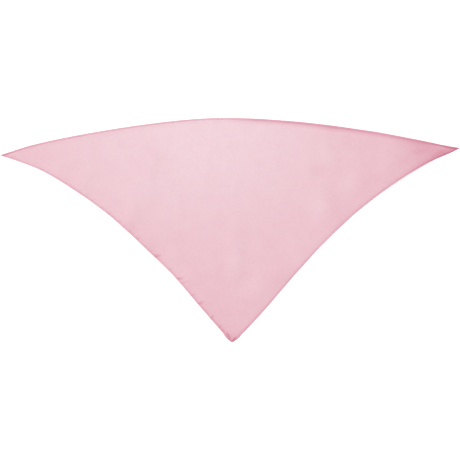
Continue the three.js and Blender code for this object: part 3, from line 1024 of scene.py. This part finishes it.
def make_hem(edge):
    """A hem: a row of sections along its edge, with slanted ridges on top."""
    length = edge_length(edge)
    stations = np.linspace(0, length, round(length / HEM_STEP) + 1)
    across, high, side = hem_section()
    n = len(across)
    along = np.repeat(stations, n)
    across = np.tile(across, len(stations))
    xy, along = hem_points(edge, along, across)
    row = EDGE_NAMES.index(edge)
    wobble = np.array([noise.noise((s / WOBBLE_LENGTH, WOBBLE_SEED, row)) for s in along])
    turn = 2 * np.pi * (along + ROPE_SLANT * across) / ROPE_LENGTH + ROPE_UNEVEN * wobble
    rope = ROPE_HEIGHT * np.sin(turn) * np.sin(np.pi * across)
    z = base_height(xy) + HEM_WALL * (1 + WOBBLE * wobble) * np.tile(high, len(stations))
    z += np.where(np.tile(side, len(stations)) > 0, rope, 0)
    vertices = np.column_stack([xy, z])
    k = np.arange(n)
    faces = []
    for i in range(len(stations) - 1):
        a, b = i * n + k, i * n + (k + 1) % n
        faces.append(np.stack([a, a + n, b + n, b], axis=1))
    faces = [tuple(f) for f in np.vstack(faces)]
    faces += [tuple(k), tuple(k[::-1] + (len(stations) - 1) * n)]
    # Painted shade along the stitching line.
    seam_shade = np.exp(-(((across - SEAM_SHARE) / SEAM_PAINTED_SHADE_WIDTH) ** 2))
    # Painted shade: more at the outline, less on the hem's inner side.
    rim = 1 + RIM_PAINTED_SHADE * np.cos(np.pi * across)
    # Each hem's own deeper pink for its layers, with painted shade in it and beside it.
    tint = tint_at(xy) + painted_shade_beside_hems(xy) + on_edge_rows(HEM_LAYERS_AND_SHADE[edge], along, edge) * rim
    tint += SEAM_PAINTED_SHADE * seam_shade + WOBBLE_TINT * wobble + PUCKER_PAINTED_SHADE * puckers(xy)[1]
    attributes = {"tint": tint, "cut": cut_place(xy)}
    obj = make_object(f"{edge}_hem_roll", vertices, faces, hem_cloth, attributes)
    tidy_mesh(obj)
    return obj


JOIN_DISTANCE = 0.01 * MM  # points this close are one
LEAST_EDGE = 0.001 * MM


def tidy_mesh(obj):
    """Joins the points that the mitres bring together, and turns the faces outwards."""
    bm = bmesh.new()
    bm.from_mesh(obj.data)
    bmesh.ops.remove_doubles(bm, verts=bm.verts, dist=JOIN_DISTANCE)
    bmesh.ops.dissolve_degenerate(bm, edges=bm.edges, dist=LEAST_EDGE)
    bmesh.ops.recalc_face_normals(bm, faces=bm.faces)
    bm.to_mesh(obj.data)
    bm.free()


# The stitches.
STITCH_PITCH = 3 * MM
STITCH_LENGTH = 2.5 * MM
STITCH_MARGIN = 2 * MM  # from a mitre to the middle of the first stitch
STITCH_RINGS = 6
STITCH_SIDES = 7
STITCH_BLUNT = 4  # the power with which a stitch thins out to its ends: higher is blunter
STITCH_LEAST = 0.04  # the square of its thickness at the very ends, as a share
STITCH_ARCH = 0.14 * MM  # how far its middle stands out over its ends,
STITCH_SINK = 0.08 * MM  # and how far the ends are pulled in
STITCH_FACES = ((HEM_WALL * 0.96, 1), (0.19 * MM, -0.3))  # height within the hem, share of the arch
THREAD_RADIUS = 0.17 * MM


def make_stitches(edge):
    """A row of lockstitch on both faces of a hem."""
    margins = [trim * SEAM_SHARE + STITCH_MARGIN for trim in edge_trims[edge]]
    middles = np.arange(margins[0], edge_length(edge) - margins[1], STITCH_PITCH)
    shares = np.linspace(-0.5, 0.5, STITCH_RINGS)
    along = (middles[:, None] + shares * STITCH_LENGTH).ravel()
    spots, _ = hem_points(edge, along, np.full(len(along), SEAM_SHARE))
    spots = spots.reshape(len(middles), STITCH_RINGS, 2)
    low = base_height(spots.reshape(-1, 2)).reshape(len(middles), STITCH_RINGS)
    turn = np.linspace(0, 2 * np.pi, STITCH_SIDES, endpoint=False)
    taper = np.sqrt(np.clip(1 - (2 * shares) ** STITCH_BLUNT, STITCH_LEAST, 1))
    arch = STITCH_ARCH * (1 - (2 * shares) ** 2) - STITCH_SINK
    vertices, faces = [], []
    for face_height, arch_share in STITCH_FACES:
        for m in range(len(middles)):
            first = len(vertices)
            for r in range(STITCH_RINGS):
                ahead = spots[m, min(r + 1, STITCH_RINGS - 1)] - spots[m, max(r - 1, 0)]
                ahead = ahead / np.linalg.norm(ahead)
                across = np.array([-ahead[1], ahead[0]])
                z = low[m].mean() + face_height + arch_share * arch[r]
                for a in turn:
                    out = THREAD_RADIUS * taper[r] * math.cos(a)
                    up = THREAD_RADIUS * taper[r] * math.sin(a)
                    vertices.append((*(spots[m, r] + across * out), z + up))
            for r in range(STITCH_RINGS - 1):
                for k in range(STITCH_SIDES):
                    a, b = first + r * STITCH_SIDES + k, first + r * STITCH_SIDES + (k + 1) % STITCH_SIDES
                    faces.append((a, b, b + STITCH_SIDES, a + STITCH_SIDES))
            end = first + (STITCH_RINGS - 1) * STITCH_SIDES
            faces.append(tuple(first + STITCH_SIDES - 1 - k for k in range(STITCH_SIDES)))
            faces.append(tuple(end + k for k in range(STITCH_SIDES)))
    return make_object(f"{edge}_stitches", vertices, faces, thread)


panel = make_panel()
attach(panel, "root")
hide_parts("panel")
on_it = []
for edge_name in EDGE_NAMES:
    hem = make_hem(edge_name)
    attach(hem, "root")
    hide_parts(f"{edge_name}_hem")
    stitches = make_stitches(edge_name)
    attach(stitches, "root")
    on_it += [hem, stitches]


FLOOR_REACH = 40  # from the cloth to the floor's edges, in metres
FLOOR_GLOW = 0.3  # a little light of its own, which fills the contact shadow


def make_floor():
    material, nodes, _ = new_material("white_floor")
    shader = nodes["Principled BSDF"]
    shader.inputs["Base Color"].default_value = (0.95, 0.95, 0.95, 1)
    shader.inputs["Roughness"].default_value = 0.9
    shader.inputs["Specular IOR Level"].default_value = 0.1
    shader.inputs["Emission Color"].default_value = (1, 1, 1, 1)
    shader.inputs["Emission Strength"].default_value = FLOOR_GLOW
    corners = [(x * FLOOR_REACH, y * FLOOR_REACH, 0) for x, y in ((-1, -1), (1, -1), (1, 1), (-1, 1))]
    return make_object("floor", corners, [(0, 1, 2, 3)], material)


floor = make_floor()


# Light: a large soft panel to the upper left, and pale surroundings.
SKY_STRENGTH = 0.86
KEY_PLACE = (-2.4, 2.0, 6.0)
KEY_SIZE = 4.0
KEY_POWER = 112


def make_light():
    scene = bpy.context.scene
    scene.world = bpy.data.worlds.new("studio")
    scene.world.use_nodes = True
    background = scene.world.node_tree.nodes["Background"]
    background.inputs["Color"].default_value = (1, 1, 1, 1)
    background.inputs["Strength"].default_value = SKY_STRENGTH
    data = bpy.data.lights.new("key", "AREA")
    data.size = KEY_SIZE
    data.energy = KEY_POWER
    key = bpy.data.objects.new("key", data)
    key.location = KEY_PLACE
    key.rotation_mode = "QUATERNION"
    key.rotation_quaternion = (-Vector(KEY_PLACE)).to_track_quat("-Z", "Y")
    scene.collection.objects.link(key)
    scene.view_settings.view_transform = "Standard"
    scene.view_settings.look = "None"


# Camera: straight above, with the picture's width spanning the cloth.
PICTURE_PIXELS = 460
PIXEL = 2.14 * MM  # what one pixel of the photograph spans on the cloth
LENS = 85
SENSOR = 36
PICTURE_MIDDLE = (-0.1 * MM, 0.75 * MM)  # what lies in the middle of the picture


def make_camera():
    data = bpy.data.cameras.new("camera")
    data.lens = LENS
    data.sensor_width = SENSOR
    camera = bpy.data.objects.new("camera", data)
    camera.location = (*PICTURE_MIDDLE, PICTURE_PIXELS * PIXEL * LENS / SENSOR)
    bpy.context.scene.collection.objects.link(camera)
    bpy.context.scene.camera = camera


make_light()
make_camera()
